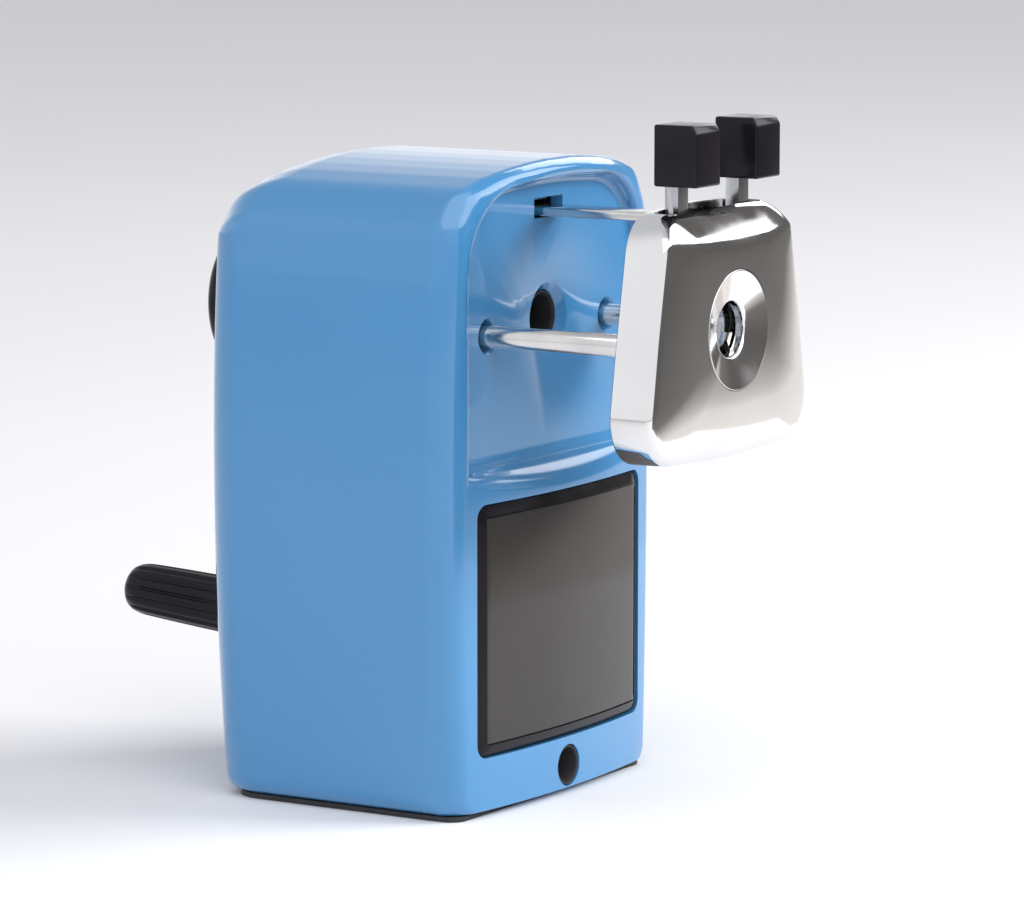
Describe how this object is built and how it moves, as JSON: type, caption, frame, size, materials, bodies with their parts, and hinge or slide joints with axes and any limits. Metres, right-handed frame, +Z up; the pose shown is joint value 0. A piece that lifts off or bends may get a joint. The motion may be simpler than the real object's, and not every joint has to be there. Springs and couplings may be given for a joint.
{
  "type": "pencil sharpener",
  "caption": "Desktop crank pencil sharpener with a pull-out clamping head, helical cutter, shavings drawer and rear crank",
  "frame": {"origin": "middle of the body's footprint, on the surface it stands on", "axes": "+Z up; -Y out of the front, where the pencil goes in and the drawer opens; +Y towards the crank; +X to the right seen from the front"},
  "size_m": [0.074, 0.134, 0.126],
  "materials": {
    "paint_blue": "gloss",
    "black_gloss": "gloss",
    "black_matte": "fine texture",
    "smoked": "smoked gloss",
    "pad": "matte",
    "chrome": "polished",
    "steel": "brushed",
    "brass": "turned"
  },
  "bodies": {
    "housing": {"housing_shell": "paint_blue", "rear_cover": "paint_blue", "base_plate": "black_matte", "base_pad": "pad", "mechanism_frame": "steel", "ring_gear": "steel", "pencil_guide": "black_matte", "rear_bush": "brass", "latch_spring": "steel", "clamp_socket": "black_matte", "drawer_catch": "steel", "rod_bush_left": "brass", "rod_bush_right": "brass", "rear_cover_screw_1": "steel", "rear_cover_screw_2": "steel", "rear_cover_screw_3": "steel", "rear_cover_screw_4": "steel", "base_screw_1": "steel", "base_screw_2": "steel", "base_screw_3": "steel", "base_screw_4": "steel"},
    "head": {"head_shell": "chrome", "entry_ring": "chrome", "head_back_plate": "steel", "latch_bar": "steel", "lever_pivot_sleeve": "steel", "lever_spring": "steel", "guide_rod_left": "steel", "guide_rod_right": "steel", "rod_stop_left": "steel", "rod_stop_right": "steel", "head_screw_left": "steel", "head_screw_right": "steel"},
    "lever_left": {"lever_left_plate": "steel", "lever_left_cap": "black_gloss"},
    "lever_right": {"lever_right_plate": "steel", "lever_right_cap": "black_gloss"},
    "jaw_a": {"jaw_1": "steel"},
    "jaw_b": {"jaw_2": "steel"},
    "jaw_c": {"jaw_3": "steel"},
    "crank": {"cutter_carrier": "steel", "cutter_axle": "steel", "crank_arm": "black_gloss", "crank_screw": "steel", "knob_pin": "steel", "thrust_washer": "brass"},
    "cutter": {"helical_cutter": "steel", "pinion_gear": "steel"},
    "knob": {"crank_knob": "black_gloss"},
    "drawer": {"drawer_tray": "black_matte", "drawer_front": "black_gloss", "drawer_window": "smoked"}
  },
  "joints": [
    {"name": "head_slide", "type": "slide", "parent": "housing", "child": "head", "axis": [0, -1, 0], "range_m": [-0.026, 0]},
    {"name": "lever_left_hinge", "type": "hinge", "parent": "head", "child": "lever_left", "pos_m": [0, -0.0585, 0.0885], "axis": [0, 1, 0], "range_deg": [0, 10], "stiffness_Nm_per_rad": 0.4, "springref_deg": -11.46, "deforming": ["lever_spring"]},
    {"name": "lever_right_hinge", "type": "hinge", "parent": "head", "child": "lever_right", "pos_m": [0, -0.0585, 0.0885], "axis": [0, 1, 0], "range_deg": [-10, 0]},
    {"name": "jaw_a_slide", "type": "slide", "parent": "head", "child": "jaw_a", "axis": [0, 0, 1], "range_m": [0, 0.0024]},
    {"name": "jaw_b_slide", "type": "slide", "parent": "head", "child": "jaw_b", "axis": [-0.866, 0, -0.5], "range_m": [0, 0.0024]},
    {"name": "jaw_c_slide", "type": "slide", "parent": "head", "child": "jaw_c", "axis": [0.866, 0, -0.5], "range_m": [0, 0.0024]},
    {"name": "crank_turn", "type": "hinge", "parent": "housing", "child": "crank", "pos_m": [0, 0.03, 0.0885], "axis": [0, 1, 0], "continuous": true},
    {"name": "cutter_spin", "type": "hinge", "parent": "crank", "child": "cutter", "pos_m": [0, -0.017, 0.07765], "axis": [0, 0.9848, 0.1736], "continuous": true},
    {"name": "knob_spin", "type": "hinge", "parent": "crank", "child": "knob", "pos_m": [0, 0.0422, 0.0285], "axis": [0, 0.9969, 0.0785], "continuous": true},
    {"name": "drawer_slide", "type": "slide", "parent": "housing", "child": "drawer", "axis": [0, -1, 0], "range_m": [0, 0.045]}
  ],
  "couplings": [
    {"joint": "lever_right_hinge", "follows": "lever_left_hinge", "ratio": -1},
    {"joint": "jaw_a_slide", "follows": "lever_left_hinge", "m_per_rad": 0.01375},
    {"joint": "jaw_b_slide", "follows": "lever_left_hinge", "m_per_rad": 0.01375},
    {"joint": "jaw_c_slide", "follows": "lever_left_hinge", "m_per_rad": 0.01375},
    {"joint": "cutter_spin", "follows": "crank_turn", "ratio": -3.3333}
  ]
}
